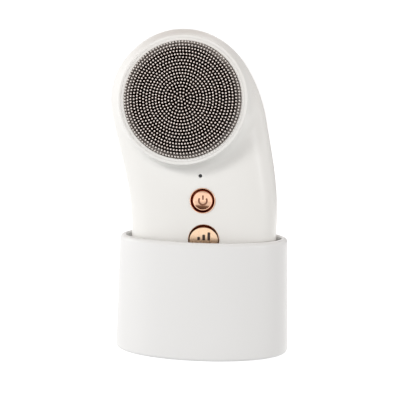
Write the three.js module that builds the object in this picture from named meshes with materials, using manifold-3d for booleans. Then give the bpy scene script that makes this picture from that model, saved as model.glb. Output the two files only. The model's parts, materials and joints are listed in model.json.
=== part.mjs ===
// Facial cleansing brush: a hand-held brush standing in an oval charging stand.
// Millimetres, +Z up, front towards -Y. Origin on the floor under the middle of the stand.
import * as THREE from 'three';
import { mergeVertices } from 'three/addons/utils/BufferGeometryUtils.js';
import ManifoldModule from 'manifold-3d';

const wasm = await ManifoldModule();
wasm.setup();

// ---- driving sizes ---------------------------------------------------------------------------
const STAND = {
  halfWidth: 40, halfDepth: 27.5, squareness: 2.05, bottom: 0.6, height: 53.2,
  taper: 1.3, wall: 2.8, skirtWall: 3.0, foot: 2.3, rim: 2.0, floorLow: 8.4, floorTop: 10.4,
};
const CRADLE = { low: 10.6, top: 26, gap: 0.3, fit: 0.6 };
const PLATE = { low: 0.8, top: 2.8, inset: 3.3 };
const GRIP = {
  low: 12.9, lowCentre: 50, highCentre: 108, top: 147.6, waist: 33.3, shoulder: 35.1,
  thin: 17.5, thick: 18.3, lean: -10.7, foot: 0.2, squareness: 2.7, wall: 2.2, seam: 0.3,
};
const HEAD = {
  x: -8, y: -22.5, z: 116.35, tilt: 8, collar: 28.9, well: 27.45, tube: 29.5, flare: 4.6,
  shoulder: -2, floor: -7.5, back: -10.5,
};
const BRUSH = {
  cup: 27.15, lip: 26.35, pad: 26.2, padBack: -4.9, padFace: -2.4, tipEdge: 2.6, dome: 1.7,
  ridges: 8, pitch: 3.25,
};
const SPINDLE = { radius: 2.0, socket: 2.1, tip: -4.7, end: -19 };
const MOTOR = { radius: 12, front: -13.6, back: -26.5, mount: 17, screws: 14.5 };
const POWER = { x: 1.3, z: 71.3, bezel: 5.75, ring: 0.75, face: -17.5 };
const LEVEL = { x: 2.1, z: 53.6, bezel: 7.05, ring: 0.35, face: -17.1 };
const LAMP = { x: 0.1, z: 82.4, radius: 0.65 };
const BOARD = { width: 36, low: 24, top: 94, front: -9.4, thick: 1.6 };
const CHASSIS = { width: 52, low: 22, top: 97, front: -7.2, thick: 1.8 };
const CHASSIS_SCREWS = [[-22, 30], [22, 30], [-26, 88], [21.6, 88]];
const CELL = { width: 34, low: 25, top: 75, front: -4.9, thick: 9 };
const STAND_SCREWS = [[-26, -11], [26, -11], [-26, 11], [26, 11]];
const PAD = { inset: 13, low: 0, top: 1.5, recess: 1.6 };

// ---- solids ----------------------------------------------------------------------------------
function solid(geometry) {
  const bare = new THREE.BufferGeometry();
  bare.setAttribute('position', geometry.getAttribute('position'));
  if (geometry.index) bare.setIndex(geometry.index);
  const welded = mergeVertices(bare, 1e-4);
  const index = welded.index.array;
  const keep = [];
  for (let i = 0; i < index.length; i += 3) {
    const [a, b, c] = [index[i], index[i + 1], index[i + 2]];
    if (a !== b && b !== c && c !== a) keep.push(a, b, c);
  }
  const at = welded.getAttribute('position').array;
  let volume = 0;
  const [p, q, r] = [new THREE.Vector3(), new THREE.Vector3(), new THREE.Vector3()];
  for (let i = 0; i < keep.length; i += 3) {
    p.fromArray(at, keep[i] * 3); q.fromArray(at, keep[i + 1] * 3); r.fromArray(at, keep[i + 2] * 3);
    volume += p.dot(q.cross(r));
  }
  if (volume < 0) for (let i = 0; i < keep.length; i += 3) [keep[i], keep[i + 1]] = [keep[i + 1], keep[i]];
  return new wasm.Manifold(new wasm.Mesh({
    numProp: 3, vertProperties: new Float32Array(at), triVerts: new Uint32Array(keep),
  }));
}
const join = (...parts) => parts.reduce((sum, part) => sum.add(part));
const cut = (body, ...tools) => tools.reduce((rest, tool) => rest.subtract(tool), body);

// Frames: local X right, Y up the face, Z out of the face.
const tiltRad = THREE.MathUtils.degToRad(HEAD.tilt);
const [cosT, sinT] = [Math.cos(tiltRad), Math.sin(tiltRad)];
const headFrame = new THREE.Matrix4().makeBasis(
  new THREE.Vector3(1, 0, 0), new THREE.Vector3(0, sinT, cosT), new THREE.Vector3(0, -cosT, sinT),
).setPosition(HEAD.x, HEAD.y, HEAD.z);
const faceFrame = (x, z) => new THREE.Matrix4().makeBasis(
  new THREE.Vector3(1, 0, 0), new THREE.Vector3(0, 0, 1), new THREE.Vector3(0, -1, 0),
).setPosition(x, 0, z);
const upFrame = (x, y) => new THREE.Matrix4().makeTranslation(x, y, 0);

// A turned solid about a frame's Z: profile of [radius, height] pairs.
function turned(frame, profile, segments = 24) {
  const points = profile.map(([radius, height]) => new THREE.Vector2(radius, height));
  const geometry = new THREE.LatheGeometry(points, segments);
  return solid(geometry.rotateX(Math.PI / 2).applyMatrix4(frame));
}
const disc = (frame, radius, low, high, segments = 24) =>
  turned(frame, [[0, low], [radius, low], [radius, high], [0, high]], segments);
const ring = (frame, inner, outer, low, high, segments = 24) =>
  turned(frame, [[inner, low], [outer, low], [outer, high], [inner, high], [inner, low]], segments);

function box(x0, x1, y0, y1, z0, z1) {
  const geometry = new THREE.BoxGeometry(x1 - x0, y1 - y0, z1 - z0);
  return solid(geometry.translate((x0 + x1) / 2, (y0 + y1) / 2, (z0 + z1) / 2));
}

// A plate with round corners standing on edge, thickness along Y.
function upright(x0, x1, z0, z1, y0, y1, radius) {
  const shape = new THREE.Shape();
  shape.moveTo(x0 + radius, z0);
  shape.lineTo(x1 - radius, z0).absarc(x1 - radius, z0 + radius, radius, -Math.PI / 2, 0);
  shape.lineTo(x1, z1 - radius).absarc(x1 - radius, z1 - radius, radius, 0, Math.PI / 2);
  shape.lineTo(x0 + radius, z1).absarc(x0 + radius, z1 - radius, radius, Math.PI / 2, Math.PI);
  shape.lineTo(x0, z0 + radius).absarc(x0 + radius, z0 + radius, radius, Math.PI, 1.5 * Math.PI);
  const geometry = new THREE.ExtrudeGeometry(shape, { depth: y1 - y0, bevelEnabled: false, curveSegments: 4 });
  return solid(geometry.rotateX(Math.PI / 2).translate(0, y1, 0));
}

// ---- oval stand ------------------------------------------------------------------------------
// Stations of [inset from the outer oval, height]; an inset of null is a pole on the axis.
function oval(stations, segments = 52) {
  const rows = stations.map(([inset, height]) => {
    if (inset === null) return [[0, 0, height]];
    const row = [];
    for (let k = 0; k < segments; k++) {
      const angle = (k / segments) * 2 * Math.PI;
      const [c, s] = [Math.cos(angle), Math.sin(angle)];
      const power = 2 / STAND.squareness;
      row.push([
        (STAND.halfWidth - inset) * Math.sign(c) * Math.abs(c) ** power,
        (STAND.halfDepth - inset) * Math.sign(s) * Math.abs(s) ** power, height,
      ]);
    }
    return row;
  });
  return skin(rows, segments);
}

// Joins rows of points into a closed skin; single-point rows are poles.
function skin(rows, segments) {
  const points = [];
  const first = rows.map((row) => { const at = points.length; points.push(...row); return at; });
  const index = [];
  for (let j = 0; j + 1 < rows.length; j++) {
    for (let k = 0; k < segments; k++) {
      const next = (k + 1) % segments;
      const [a, b] = rows[j].length === 1 ? [first[j], first[j]] : [first[j] + k, first[j] + next];
      const [c, d] = rows[j + 1].length === 1
        ? [first[j + 1], first[j + 1]] : [first[j + 1] + k, first[j + 1] + next];
      if (a !== b) index.push(a, b, d);
      if (c !== d) index.push(a, d, c);
    }
  }
  const geometry = new THREE.BufferGeometry();
  geometry.setAttribute('position', new THREE.Float32BufferAttribute(points.flat(), 3));
  geometry.setIndex(index);
  return solid(geometry);
}

const standInner = STAND.taper + STAND.wall;
const standOuterAt = (z) => STAND.taper * Math.max(0, (z - 2.9) / (STAND.height - 2.9));

function standCup() {
  const { bottom, foot, rim, height } = STAND;
  const stations = [[null, STAND.floorLow], [STAND.skirtWall, STAND.floorLow], [STAND.skirtWall, bottom]];
  for (const turn of [0, 30, 60, 90]) {
    const t = THREE.MathUtils.degToRad(turn);
    stations.push([foot * (1 - Math.sin(t)), bottom + foot * (1 - Math.cos(t))]);
  }
  stations.push([standOuterAt(28), 28]);
  for (const turn of [0, 30, 60, 90]) {
    const t = THREE.MathUtils.degToRad(turn);
    stations.push([STAND.taper + rim * (1 - Math.cos(t)), height - rim + rim * Math.sin(t)]);
  }
  stations.push([standInner - 0.5, height], [standInner - 0.12, height - 0.25], [standInner, height - 0.8]);
  stations.push([standInner, STAND.floorTop], [null, STAND.floorTop]);
  let cup = oval(stations);
  for (const [x, y] of STAND_SCREWS) {
    cup = join(cup, disc(upFrame(x, y), 3.2, 3.0, STAND.floorLow + 0.5, 12));
    cup = cut(cup, disc(upFrame(x, y), 1.15, 2.5, 8.2, 8));
  }
  return cut(cup, upright(-4.9, 4.9, 4.35, 7.85, 20, 30, 1.6));
}

function cradle() {
  const outer = standInner + CRADLE.gap;
  const block = oval([[null, CRADLE.low], [outer, CRADLE.low], [outer, CRADLE.top - 1.2],
    [outer + 1.2, CRADLE.top], [null, CRADLE.top]], 40);
  return cut(block, gripStub(-CRADLE.fit, CRADLE.top + 2));
}

// Foot of the handset form up to a height, as stacked level sections.
function gripStub(inset, top, segments = 48) {
  const low = GRIP.low + inset;
  const heights = [0.012, 0.04, 0.1, 0.2, 0.35, 0.55, 0.78, 1].map((t) => low + (top - low) * t);
  const power = 2 / GRIP.squareness;
  const rows = heights.map((z) => {
    const { centre, width, depth } = section(z, inset);
    const row = [];
    for (let k = 0; k < segments; k++) {
      const [c, s] = [Math.cos((k / segments) * 2 * Math.PI), Math.sin((k / segments) * 2 * Math.PI)];
      row.push([centre + width * Math.sign(c) * Math.abs(c) ** power,
        depth * Math.sign(s) * Math.abs(s) ** power, z]);
    }
    return row;
  });
  return skin([[[GRIP.foot, 0, low]], ...rows, [[GRIP.foot, 0, top]]], segments);
}

function basePlate() {
  let plate = oval([[null, PLATE.low], [PLATE.inset, PLATE.low], [PLATE.inset, PLATE.top],
    [null, PLATE.top]], 40);
  for (const [x, y] of STAND_SCREWS) {
    plate = cut(plate, disc(upFrame(x, y), 1.5, 0, 4, 8), disc(upFrame(x, y), 2.8, 0, 2.0, 12));
  }
  return cut(plate, oval([[null, 0], [PAD.inset - 0.2, 0], [PAD.inset - 0.2, PAD.recess],
    [null, PAD.recess]], 32));
}

// ---- handset form ----------------------------------------------------------------------------
const smooth = (z, low, high) => THREE.MathUtils.smoothstep(z, low, high);

// Centre line, half-width and half-thickness of the handset at a height, drawn in by an inset.
function section(z, inset) {
  const centre = GRIP.foot + GRIP.lean * smooth(z, 60, 132);
  let width = GRIP.waist + (GRIP.shoulder - GRIP.waist) * smooth(z, 50, 108) - inset;
  let depth = GRIP.thin + (GRIP.thick - GRIP.thin) * smooth(z, 60, 108) - inset;
  if (z > GRIP.highCentre) {
    const t = (z - GRIP.highCentre) / (GRIP.top - GRIP.highCentre - inset);
    if (t >= 1) return null;
    width *= Math.sqrt(1 - t * t);
    depth *= (1 - t ** 2.4) ** (1 / 2.4);
  } else if (z < GRIP.lowCentre) {
    const t = (GRIP.lowCentre - z) / (GRIP.lowCentre - GRIP.low - inset);
    if (t >= 1) return null;
    width *= (1 - t ** 3.2) ** (1 / 3.2);
    depth *= (1 - t ** 3.2) ** (1 / 3.2);
  }
  return { centre, width, depth };
}

function thickness(x, z, inset) {
  const at = section(z, inset);
  if (!at || at.width <= 0) return 0;
  const across = Math.abs(x - at.centre) / at.width;
  return across >= 1 ? 0 : at.depth * (1 - across ** GRIP.squareness) ** (1 / GRIP.squareness);
}

// Distance from a point inside the outline to the outline, along a direction.
function reach(x, z, dx, dz, inset) {
  let [near, far] = [0, 140];
  for (let i = 0; i < 50; i++) {
    const middle = (near + far) / 2;
    const at = section(z + dz * middle, inset);
    const inside = at && Math.abs(x + dx * middle - at.centre) < at.width;
    if (inside) near = middle; else far = middle;
  }
  return near;
}

// Half of the handset form on one side of the seam plane, as rays from a point inside it.
function halfBody(side, inset, rays = 48, rows = 8, centre = [-3, 80]) {
  const [cx, cz] = centre;
  const peak = [[cx, side * thickness(cx, cz, inset), cz]];
  const grid = [peak];
  for (let j = 1; j <= rows; j++) {
    const part = 1 - (1 - j / rows) ** 1.9;
    const row = [];
    for (let k = 0; k < rays; k++) {
      const angle = (k / rays) * 2 * Math.PI;
      const [dx, dz] = [Math.cos(angle), Math.sin(angle)];
      const r = part * reach(cx, cz, dx, dz, inset);
      const [x, z] = [cx + r * dx, cz + r * dz];
      row.push([x, j === rows ? 0 : side * thickness(x, z, inset), z]);
    }
    grid.push(row);
  }
  grid.push([[cx, 0, cz]]);
  return skin(grid, rays);
}

// Front of the handset: the grip form, lifted in a hollow sweep up to the collar round the brush.
function frontForm(rays = 48) {
  const middle = new THREE.Vector3(0, 0, HEAD.shoulder).applyMatrix4(headFrame);
  const sweep = [0, 0.06, 0.2, 0.42, 0.7, 1];
  const outer = [0.25, 0.5, 0.72, 0.88, 0.97, 1];
  const grid = [[[middle.x, middle.y, middle.z]]];
  const columns = [];
  for (let k = 0; k < rays; k++) {
    const angle = (k / rays) * 2 * Math.PI;
    const start = new THREE.Vector3(HEAD.collar * Math.cos(angle), HEAD.collar * Math.sin(angle),
      HEAD.shoulder).applyMatrix4(headFrame);
    const away = new THREE.Vector2(start.x - middle.x, start.z - middle.z).normalize();
    const room = reach(start.x, start.z, away.x, away.y, 0);
    const width = Math.min(HEAD.flare, room * 0.8);
    const radii = [...sweep.map((t) => width * t), ...outer.map((t) => width + (room - width) * t)];
    columns.push(radii.map((r, j) => {
      const [x, z] = [start.x + away.x * r, start.z + away.y * r];
      if (j === radii.length - 1) return [x, 0, z];
      const lift = 1 - Math.sqrt(Math.max(0, 1 - (1 - Math.min(1, r / width)) ** 2));
      const low = -thickness(x, z, 0);
      return [x, low + (start.y - low) * lift, z];
    }));
  }
  for (let j = 0; j < sweep.length + outer.length; j++) grid.push(columns.map((column) => column[j]));
  grid.push([[middle.x, 0, middle.z]]);
  return skin(grid, rays);
}

const behindSeam = () => box(-90, 90, -GRIP.seam, 60, -10, 200);
const beforeSeam = () => box(-90, 90, -60, GRIP.seam, -10, 200);

function frontShell() {
  const { collar } = HEAD;
  const puck = turned(headFrame, [[0, -12], [collar, -12], [collar, -0.9], [collar - 0.25, -0.3],
    [collar - 0.6, 0], [0, 0]], 48);
  const hollow = cut(halfBody(-1, GRIP.wall, 40, 6),
    turned(headFrame, [[0, HEAD.back], [HEAD.tube, HEAD.back], [HEAD.tube, 6], [0, 6]], 40));
  let shell = cut(join(frontForm(), puck), hollow);
  const outside = join(frontForm(), puck);
  for (const [x, z] of CHASSIS_SCREWS) {
    const boss = disc(faceFrame(x, z), 2.8, -CHASSIS.front + 0.1, 15, 12).intersect(outside);
    shell = cut(join(shell, boss), disc(faceFrame(x, z), 1.1, 0, 12.6, 8));
  }
  shell = cut(shell,
    turned(headFrame, [[0, HEAD.floor], [HEAD.well, HEAD.floor], [HEAD.well, -0.5],
      [HEAD.well + 0.3, 0.05], [HEAD.well + 0.3, 8], [0, 8]], 48),
    disc(headFrame, 4, -14, -2, 16));
  for (const side of [-1, 1]) {
    const hole = new THREE.Matrix4().makeTranslation(side * MOTOR.screws, 0, 0).premultiply(headFrame);
    shell = cut(shell, disc(hole, 1.25, -14, -8.3, 8));
  }
  shell = cut(shell,
    disc(faceFrame(POWER.x, POWER.z), POWER.bezel + 0.08, 5, 30, 28),
    disc(faceFrame(LEVEL.x, LEVEL.z), LEVEL.bezel + 0.08, 5, 30, 28),
    disc(faceFrame(LAMP.x, LAMP.z), LAMP.radius + 0.06, 5, 30, 12),
    behindSeam());
  return shell;
}

const rearShell = () => cut(halfBody(1, 0, 48, 8), halfBody(1, GRIP.wall, 36, 6), beforeSeam());

function seamGasket() {
  const band = box(-90, 90, -GRIP.seam + 0.05, GRIP.seam - 0.05, -10, 200);
  const outer = join(halfBody(-1, 0.5, 40, 5), halfBody(1, 0.5, 40, 5));
  const inner = join(halfBody(-1, 1.7, 40, 5), halfBody(1, 1.7, 40, 5));
  return cut(outer, inner).intersect(band);
}

// ---- brush and drive -------------------------------------------------------------------------
const hexagon = (radius, low, high) => disc(headFrame, radius, low, high, 6);

function brushCup() {
  const { cup, lip } = BRUSH;
  const body = turned(headFrame, [[0, -7.2], [4.6, -7.2], [4.6, -6.4], [cup - 0.6, -6.4], [cup, -5.8],
    [cup, -0.8], [cup - 0.25, -0.4], [lip, -0.4], [lip, -5.0], [4.6, -5.0], [4.6, -3.5], [0, -3.5]], 40);
  return cut(body, hexagon(SPINDLE.socket, -9, -4.4));
}

function bristlePad() {
  const { pad, padBack, padFace, tipEdge, dome, ridges, pitch } = BRUSH;
  const profile = [[0, -3.3], [4.8, -3.3], [4.8, padBack], [pad, padBack]];
  for (let k = ridges; k >= 0; k--) {
    const radius = k * pitch - (k === ridges ? 0.6 : 0);
    const tip = tipEdge + dome * (1 - (radius / pad) ** 2);
    if (k < ridges) profile.push([radius + 0.8, padFace], [radius + 0.5, tip]);
    else profile.push([pad, padFace], [radius + 0.5, tip]);
    if (k > 0) profile.push([radius - 0.5, tip], [radius - 0.8, padFace]);
    else profile.push([0, tip]);
  }
  return turned(headFrame, profile, 32);
}

function spindle() {
  const { radius, tip, end } = SPINDLE;
  return join(disc(headFrame, radius, end, -7.9, 16), hexagon(radius, -8.5, tip));
}

function motorScrew(side) {
  const frame = new THREE.Matrix4().makeTranslation(side * MOTOR.screws, 0, 0).premultiply(headFrame);
  return screw(frame, -13.3, 1, 2.1, 1.4, 1.1, 4.6);
}

// Pan-head screw: head on one side of a seat height, shank the other way along the frame's Z.
function screw(frame, seat, way, head, tall, shank, length) {
  const body = turned(frame, [[0, seat - way * tall], [head * 0.7, seat - way * tall],
    [head, seat - way * tall * 0.6], [head, seat], [shank, seat], [shank, seat + way * length],
    [0, seat + way * length]], 10);
  const slot = new THREE.BoxGeometry(head * 1.3, 0.5, 0.7).translate(0, 0, seat - way * tall);
  return cut(body, solid(slot.applyMatrix4(frame)));
}

// ---- buttons ---------------------------------------------------------------------------------
function bezel({ x, z, bezel: outer, ring: width }, proud) {
  const front = -thicknessY(x, z) + proud;
  return turned(faceFrame(x, z), [[outer - width, 14.2], [outer + 1.1, 14.2], [outer + 1.1, 14.95],
    [outer, 14.95], [outer, front - 0.25], [outer - width * 0.35, front], [outer - width * 0.7, front],
    [outer - width, front - 0.3], [outer - width, 14.2]], 28);
}
const thicknessY = (x, z) => -thickness(x, z, 0);

function pressCap({ x, z, bezel: outer, ring: width, face }, dish) {
  const r = outer - width - 0.12;
  const top = -face;
  return turned(faceFrame(x, z), [[0, 13.25], [1.5, 13.25], [1.5, 13.6], [r + 0.7, 13.6], [r + 0.7, 14.1],
    [r, 14.1], [r, top - 0.45], [r - 0.35, top], [r - 0.9, top], [r - 1.5, top - dish * 0.7],
    [r * 0.4, top - dish], [0, top - dish]], 28);
}

function powerMark({ x, z, face }, dish) {
  const depth = [-face - dish - 0.25, -face + 1];
  const start = 0.78 * Math.PI;
  const end = 2.22 * Math.PI;
  const curve = new THREE.Shape();
  curve.absarc(0, 0, 1.95, start, end, false);
  curve.absarc(0, 0, 1.45, end, start, true);
  const around = new THREE.ExtrudeGeometry(curve, {
    depth: depth[1] - depth[0], bevelEnabled: false, curveSegments: 14,
  }).translate(0, -0.1, depth[0]).applyMatrix4(faceFrame(x, z));
  const stem = box(x - 0.25, x + 0.25, -depth[1], -depth[0], z + 0.3, z + 2.3);
  return [solid(around), stem];
}

function levelMark({ x, z, face }) {
  return [-1, 0, 1].map((k) => {
    const tall = 1.1 + 0.7 * (k + 1);
    return upright(x + k * 1.9 - 0.55, x + k * 1.9 + 0.55, z - 0.6, z - 0.6 + tall, face - 1, face + 0.25, 0.3);
  });
}

const sealRing = ({ x, z, bezel: outer }) => ring(faceFrame(x, z), outer + 0.9, outer + 2.3, 13.2, 14.1, 24);

function tactSwitch({ x, z }) {
  return join(box(x - 3, x + 3, -12.2, BOARD.front - 0.05, z - 3, z + 3), disc(faceFrame(x, z), 1.6, 12, 12.75, 16));
}

// ---- inside the handset ----------------------------------------------------------------------
function chassis() {
  const { width, low, top, front, thick } = CHASSIS;
  let plate = upright(-width / 2, width / 2, low, top, front, front + thick, 5)
    .intersect(box(-90, 90, -60, 60, 0, 200)).intersect(halfBody(-1, GRIP.wall + 0.6, 40, 6));
  for (const [x, z] of CHASSIS_SCREWS) plate = cut(plate, disc(faceFrame(x, z), 1.4, 0, 12, 10));
  return plate;
}

function chassisScrew([x, z]) {
  return screw(faceFrame(x, z), -(CHASSIS.front + CHASSIS.thick) - 0.05, 1, 2.3, 1.4, 1.0, 6.2);
}

function batteryTray() {
  const { width, low, top, front, thick } = CELL;
  const half = width / 2;
  return cut(upright(-half - 1.8, half + 1.8, low - 1.8, top + 1.8, front - 0.2, front + thick + 1.5, 2),
    box(-half - 0.3, half + 0.3, front - 1, front + thick + 0.3, low - 0.3, top + 0.3));
}

// Flat oval coil or ferrite: a ring or disc stretched along X.
function stretched(inner, outer, low, high) {
  const wide = new THREE.Matrix4().makeScale(1.85, 1, 1);
  return inner ? ring(wide, inner, outer, low, high, 28) : disc(wide, outer, low, high, 28);
}

const rounded = (x0, x1, y0, y1, z0, z1, r) => upright(x0, x1, z0, z1, y0, y1, r);

// ---- assembly --------------------------------------------------------------------------------
const material = (color, roughness = 0.5, metalness = 0) =>
  new THREE.MeshStandardMaterial({ color, roughness, metalness });
const WHITE = material(0xefece8, 0.45);
const STANDWHITE = material(0xf1f0ee, 0.4);
const ROSE = material(0xd99a78, 0.2, 1);
const DARK = material(0x1d1613, 0.7);
const BLACK = material(0x101012, 0.3);
const STEEL = material(0x9a9ca0, 0.3, 1);
const GREEN = material(0x1f5a3a, 0.6);
const COPPER = material(0xb56a3a, 0.35, 1);
const GREY = material(0x8c8f94, 0.7);
const FERRITE = material(0x3a3a3d, 0.8);
const BLUE = material(0x2f5fa8, 0.5);
const BRASS = material(0xc9a24a, 0.3, 1);

const group = new THREE.Group();
group.name = 'facial_cleansing_brush';

function add(name, body, look) {
  const mesh = body.getMesh();
  const geometry = new THREE.BufferGeometry();
  geometry.setAttribute('position', new THREE.BufferAttribute(new Float32Array(mesh.vertProperties), 3));
  geometry.setIndex(new THREE.BufferAttribute(new Uint32Array(mesh.triVerts), 1));
  geometry.computeVertexNormals();
  const node = new THREE.Mesh(geometry, look);
  node.name = name;
  group.add(node);
}

add('stand_cup', standCup(), STANDWHITE);
add('stand_cradle', cradle(), GREY);
add('stand_base_plate', basePlate(), STANDWHITE);
add('stand_grip_pad', oval([[null, PAD.low], [PAD.inset, PAD.low], [PAD.inset, PAD.top], [null, PAD.top]], 32), DARK);
STAND_SCREWS.forEach(([x, y], i) =>
  add(`stand_screw_${i + 1}`, screw(upFrame(x, y), 1.95, 1, 2.4, 1.1, 1.05, 5.6), STEEL));
add('transmitter_coil', stretched(4.2, 8.8, 7.0, 8.2), COPPER);
add('transmitter_ferrite', stretched(0, 9.2, 5.9, 6.9), FERRITE);
add('dock_board', box(-13, 13, 10.5, 21, 3.0, 4.2), GREEN);
add('charging_inlet', cut(rounded(-4.6, 4.6, 19.2, 26.4, 4.4, 7.6, 1.5),
  rounded(-4.1, 4.1, 20.4, 27, 4.9, 7.1, 1.0)), STEEL);

add('front_shell', frontShell(), WHITE);
add('rear_shell', rearShell(), WHITE);
add('seam_gasket', seamGasket(), WHITE);
add('chassis', chassis(), GREY);
CHASSIS_SCREWS.forEach((at, i) => add(`chassis_screw_${i + 1}`, chassisScrew(at), STEEL));
add('control_board', upright(-BOARD.width / 2, BOARD.width / 2, BOARD.low, BOARD.top, BOARD.front,
  BOARD.front + BOARD.thick, 2), GREEN);
add('control_chip', box(-13, -5, -10.8, BOARD.front - 0.05, 34, 42), BLACK);
add('indicator_led', box(LAMP.x - 1, LAMP.x + 1, -10.6, BOARD.front - 0.05, LAMP.z - 0.7, LAMP.z + 0.7), WHITE);
add('indicator_lens', turned(faceFrame(LAMP.x, LAMP.z), [[0, 10.9], [1.3, 10.9], [1.3, 14.6], [LAMP.radius, 14.6],
  [LAMP.radius, 17.75], [LAMP.radius * 0.6, 17.9], [0, 17.95]], 16), BLACK);
add('power_bezel', bezel(POWER, 0.35), ROSE);
add('power_button', cut(pressCap(POWER, 0.7), ...powerMark(POWER, 0.7)), ROSE);
add('power_seal', sealRing(POWER), GREY);
add('power_switch', tactSwitch(POWER), BLACK);
add('level_bezel', bezel(LEVEL, 0.1), ROSE);
add('level_button', cut(pressCap(LEVEL, 0), ...levelMark(LEVEL)), ROSE);
add('level_seal', sealRing(LEVEL), GREY);
add('level_switch', tactSwitch(LEVEL), BLACK);
add('battery_cell', upright(-CELL.width / 2, CELL.width / 2, CELL.low, CELL.top, CELL.front,
  CELL.front + CELL.thick, 3), BLUE);
add('battery_tray', batteryTray(), GREY);
add('receiver_coil', stretched(3.6, 8.0, 18.0, 19.2), COPPER);
add('receiver_ferrite', stretched(0, 8.4, 19.4, 20.3), FERRITE);
add('motor', cut(turned(headFrame, [[0, MOTOR.back], [MOTOR.radius - 1, MOTOR.back],
  [MOTOR.radius, MOTOR.back + 1], [MOTOR.radius, MOTOR.front], [0, MOTOR.front]], 32),
disc(headFrame, SPINDLE.radius + 0.1, -19.3, 0, 20)), STEEL);
{
  let plate = cut(disc(headFrame, MOTOR.mount, -13.25, -10.75, 28), disc(headFrame, 4.5, -20, 0, 16));
  for (const side of [-1, 1]) {
    const hole = new THREE.Matrix4().makeTranslation(side * MOTOR.screws, 0, 0).premultiply(headFrame);
    plate = cut(plate, disc(hole, 1.3, -20, 0, 8));
  }
  add('motor_mount', plate, GREY);
}
add('motor_screw_1', motorScrew(-1), STEEL);
add('motor_screw_2', motorScrew(1), STEEL);
add('spindle_seal', ring(headFrame, SPINDLE.radius + 0.1, 3.9, -10.2, -7.8, 20), DARK);
add('drive_spindle', spindle(), BRASS);
add('brush_cup', brushCup(), WHITE);
add('bristle_pad', bristlePad(), DARK);

export default group;
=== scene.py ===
"""Facial cleansing brush in its charging stand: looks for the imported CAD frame.

Lengths in the helpers are millimetres in the row frame; meshes are written in metres.
"""

import json
import math

import bpy  # noqa: E402
import numpy as np  # noqa: E402
from mathutils import Matrix, Vector  # noqa: E402


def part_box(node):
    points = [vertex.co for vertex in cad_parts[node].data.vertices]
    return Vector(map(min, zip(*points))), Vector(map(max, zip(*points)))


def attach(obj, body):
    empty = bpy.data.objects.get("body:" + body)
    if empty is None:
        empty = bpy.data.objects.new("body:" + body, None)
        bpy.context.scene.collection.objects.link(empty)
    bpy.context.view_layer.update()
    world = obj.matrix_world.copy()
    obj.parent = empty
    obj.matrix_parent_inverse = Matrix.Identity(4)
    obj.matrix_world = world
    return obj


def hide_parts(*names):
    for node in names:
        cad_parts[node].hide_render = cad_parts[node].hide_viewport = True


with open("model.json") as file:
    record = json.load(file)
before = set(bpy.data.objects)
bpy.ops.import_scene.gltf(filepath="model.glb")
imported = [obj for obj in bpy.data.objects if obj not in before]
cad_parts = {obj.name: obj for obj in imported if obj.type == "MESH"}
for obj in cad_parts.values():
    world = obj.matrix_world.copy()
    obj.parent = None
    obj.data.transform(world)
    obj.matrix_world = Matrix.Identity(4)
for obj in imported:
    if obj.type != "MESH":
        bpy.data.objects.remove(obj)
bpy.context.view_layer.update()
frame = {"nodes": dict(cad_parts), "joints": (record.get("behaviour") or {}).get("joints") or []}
scene = bpy.context.scene
nodes = frame["nodes"]


def middle_of(node):
    """Middle of a CAD node across and up, in millimetres."""
    low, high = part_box(node)
    return {"x": round(500 * (low.x + high.x), 3), "z": round(500 * (low.z + high.z), 3)}


# ---- sizes in millimetres, close to the CAD's and always inside its box ------------------------
STAND = {"a": 40.0, "b": 27.5, "n": 2.05, "bottom": 0.1, "top": 53.2, "taper": 1.3, "taper_from": 2.9,
         "wall": 2.8, "skirt": 3.0, "foot": 1.6, "rim": 2.0, "floor_low": 8.4, "floor_top": 10.4}
CRADLE = {"low": 10.6, "top": 26.0, "gap": 0.3, "fit": 0.6, "round": 1.2}
PLATE = {"low": 0.8, "top": 2.8, "inset": 3.3, "edge": 0.3}
PAD = {"inset": 13.0, "top": 1.5, "recess": 1.6, "fit": 0.2}
SCREW = {"head": 2.8, "seat": 2.0, "shank": 1.5}
INLET = {"wide": 4.6, "tall": 1.6, "round": 1.5, "back": 19.2, "face": 26.4, "z": 6.0, "wall": 0.45}
GRIP = {"low": 12.9, "low_centre": 50.0, "high_centre": 108.0, "top": 147.6, "waist": 33.3,
        "shoulder": 35.1, "thin": 17.5, "thick": 18.3, "lean": -10.7, "foot": 0.2, "n": 2.7,
        "foot_n": 3.2, "crown_n": 2.4, "wall": 2.2, "seam": 0.3, "seam_turn": 0.22, "skin": 0.06}
LEAN_SPAN = (60, 132)
THICK_SPAN = (60, 108)
GRIP_MIDDLE = (-3.0, 80.0)
HEAD = {"collar": 28.9, "well": 27.45, "tube": 28.2, "flare": 4.4, "flare_share": 0.8,
        "shoulder": -2.6, "floor": -7.5, "back": -10.5, "shaft": 4.0}
SEAM_CLEAR = 0.25
OPENING = {"back": 3, "front": 30, "key_gap": 0.04, "lamp_gap": 0.05}
BRUSH = {"cup": 27.40, "lip": 26.1, "lip_face": -0.02, "back": -6.4, "floor": -5.0, "pad": 25.9,
         "pad_back": -4.9, "pad_face": -2.4, "tip_edge": 2.6, "dome": 1.7, "fall": 0.9, "pitch": 1.41}
FALL_SPAN = (23.2, 26.0)
# Radii over which the bristles and their bed turn pale: painted light at the brush's edge.
PAINTED_LIGHT_SPAN = (21.6, 26.2)
HUB = {"radius": 4.6, "back": -7.2, "face": -3.5, "socket": 2.1, "socket_end": -4.4}
# Bristles in each ring, from the one round the middle bristle outwards.
RING_COUNTS = [6, 12, 18, 24, 32, 38, 44, 56, 56, 68, 68, 76, 76, 94, 94, 106, 106, 118]
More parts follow.
